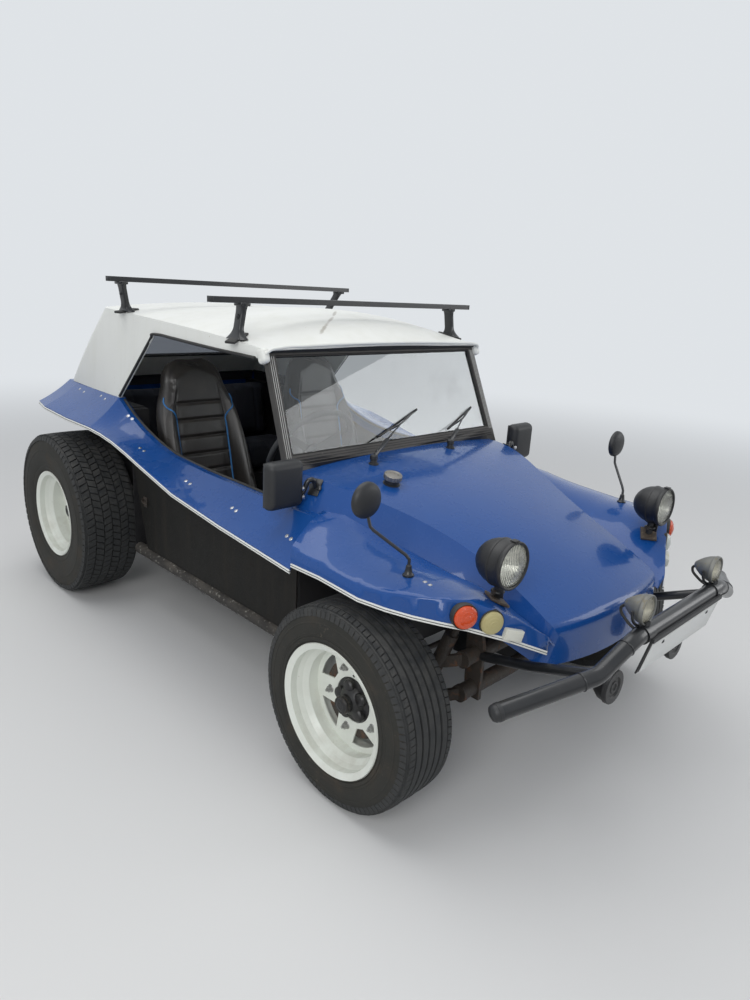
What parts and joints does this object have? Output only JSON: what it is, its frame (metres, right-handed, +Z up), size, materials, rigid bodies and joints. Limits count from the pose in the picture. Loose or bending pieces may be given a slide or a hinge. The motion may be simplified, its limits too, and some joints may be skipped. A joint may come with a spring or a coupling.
{
  "type": "dune buggy",
  "caption": "Open two-seat beach buggy: moulded body with crowned bonnet, hardtop with cut sides, bucket seats, tube bumpers, steered front wheels, wide rear wheels, engine behind",
  "frame": {"origin": "Centre of the bounding box in plan, on the ground", "axes": "+Z up, the nose points along -Y, the vehicle's right side is -X"},
  "size_m": [1.5882, 3.3195, 1.499],
  "materials": {
    "blue_paint": "gloss moulded body, royal blue",
    "white_top": "weathered white gel coat",
    "black_tub": "satin black",
    "black_steel": "satin black",
    "black_panel": "textured black panel",
    "dirty_rail": "worn black with dirt and rust",
    "screen_frame": "dark grey-brown satin",
    "glass": "clear",
    "black_rubber": "matte",
    "seat_cover": "black, lightly grained",
    "black_plastic": "satin",
    "rusty_steel": "rusty and oily",
    "cast_case": "rough cast, dirty",
    "exhaust_steel": "heat-stained",
    "lamp_black": "matte black shell",
    "lamp_glass": "fluted",
    "orange_lens": "ribbed orange dome",
    "pale_lens": "cream lens",
    "red_lens": "red lens",
    "wiper_metal": "dull",
    "cap_chrome": "ribbed",
    "tyre": "worn, brownish walls",
    "white_rim": "white, dusty",
    "drum_metal": "dark, rusty"
  },
  "bodies": {
    "body": {"bar_feet": "black_rubber", "body_shell": "blue_paint", "bonnet": "blue_paint", "dashboard": "black_tub", "engine_case": "cast_case", "exhaust": "exhaust_steel", "fan_shroud": "black_steel", "floor_controls": "black_steel", "floor_pan": "black_steel", "front_arms": "rusty_steel", "front_beam": "rusty_steel", "front_bumper": "black_steel", "front_fenders": "blue_paint", "fuel_cap": "cap_chrome", "gearbox": "cast_case", "hardtop": "white_top", "horns": "lamp_black", "indicator_lamps": "orange_lens", "inner_tub": "black_tub", "lamp_lenses": "lamp_glass", "lamp_shells": "lamp_black", "mirrors": "black_plastic", "plate_holder": "black_plastic", "rear_bumper": "black_steel", "rear_seat": "seat_cover", "rear_suspension": "rusty_steel", "rear_window": "glass", "roof_bars": "black_steel", "seat_driver": "seat_cover", "seat_passenger": "seat_cover", "seat_runners": "black_steel", "side_lamps": "pale_lens", "side_panels": "black_panel", "side_rails": "dirty_rail", "steering_column": "black_steel", "tail_lamps": "red_lens", "windscreen_frame": "screen_frame", "windscreen_glass": "glass", "wipers": "wiper_metal"},
    "knuckle_left": {"knuckle_left": "rusty_steel"},
    "knuckle_right": {"knuckle_right": "rusty_steel"},
    "steering_wheel": {"steering_wheel": "black_plastic"},
    "tie_rod": {"tie_rod": "rusty_steel"},
    "front_wheel_left": {"front_rim_left": "white_rim", "front_tyre_left": "tyre", "front_drum_left": "drum_metal"},
    "front_wheel_right": {"front_rim_right": "white_rim", "front_tyre_right": "tyre", "front_drum_right": "drum_metal"},
    "rear_wheel_left": {"rear_rim_left": "white_rim", "rear_tyre_left": "tyre", "rear_drum_left": "drum_metal"},
    "rear_wheel_right": {"rear_rim_right": "white_rim", "rear_tyre_right": "tyre", "rear_drum_right": "drum_metal"}
  },
  "joints": [
    {"name": "steer_right", "type": "hinge", "parent": "body", "child": "knuckle_right", "pos_m": [-0.548, -0.97, 0.318], "axis": [0, 0, 1], "range_deg": [-28, 28]},
    {"name": "steer_left", "type": "hinge", "parent": "body", "child": "knuckle_left", "pos_m": [0.548, -0.97, 0.318], "axis": [0, 0, 1], "range_deg": [-28, 28]},
    {"name": "steering_wheel_turn", "type": "hinge", "parent": "body", "child": "steering_wheel", "pos_m": [-0.305, -0.285, 0.912], "axis": [0, 0.866, 0.5], "range_deg": [-394, 394]},
    {"name": "tie_rod_slide", "type": "slide", "parent": "body", "child": "tie_rod", "axis": [1, 0, 0], "range_m": [-0.0545, 0.0545]},
    {"name": "front_spin_right", "type": "hinge", "parent": "knuckle_right", "child": "front_wheel_right", "pos_m": [-0.674, -0.97, 0.318], "axis": [1, 0, 0], "continuous": true},
    {"name": "front_spin_left", "type": "hinge", "parent": "knuckle_left", "child": "front_wheel_left", "pos_m": [0.674, -0.97, 0.318], "axis": [1, 0, 0], "continuous": true},
    {"name": "rear_spin_right", "type": "hinge", "parent": "body", "child": "rear_wheel_right", "pos_m": [-0.66, 1.062, 0.385], "axis": [1, 0, 0], "continuous": true},
    {"name": "rear_spin_left", "type": "hinge", "parent": "body", "child": "rear_wheel_left", "pos_m": [0.66, 1.062, 0.385], "axis": [1, 0, 0], "continuous": true}
  ],
  "couplings": [
    {"joint": "steer_left", "follows": "steer_right", "ratio": 1},
    {"joint": "steering_wheel_turn", "follows": "steer_right", "ratio": 14},
    {"joint": "tie_rod_slide", "follows": "steer_right", "m_per_rad": -0.11}
  ]
}
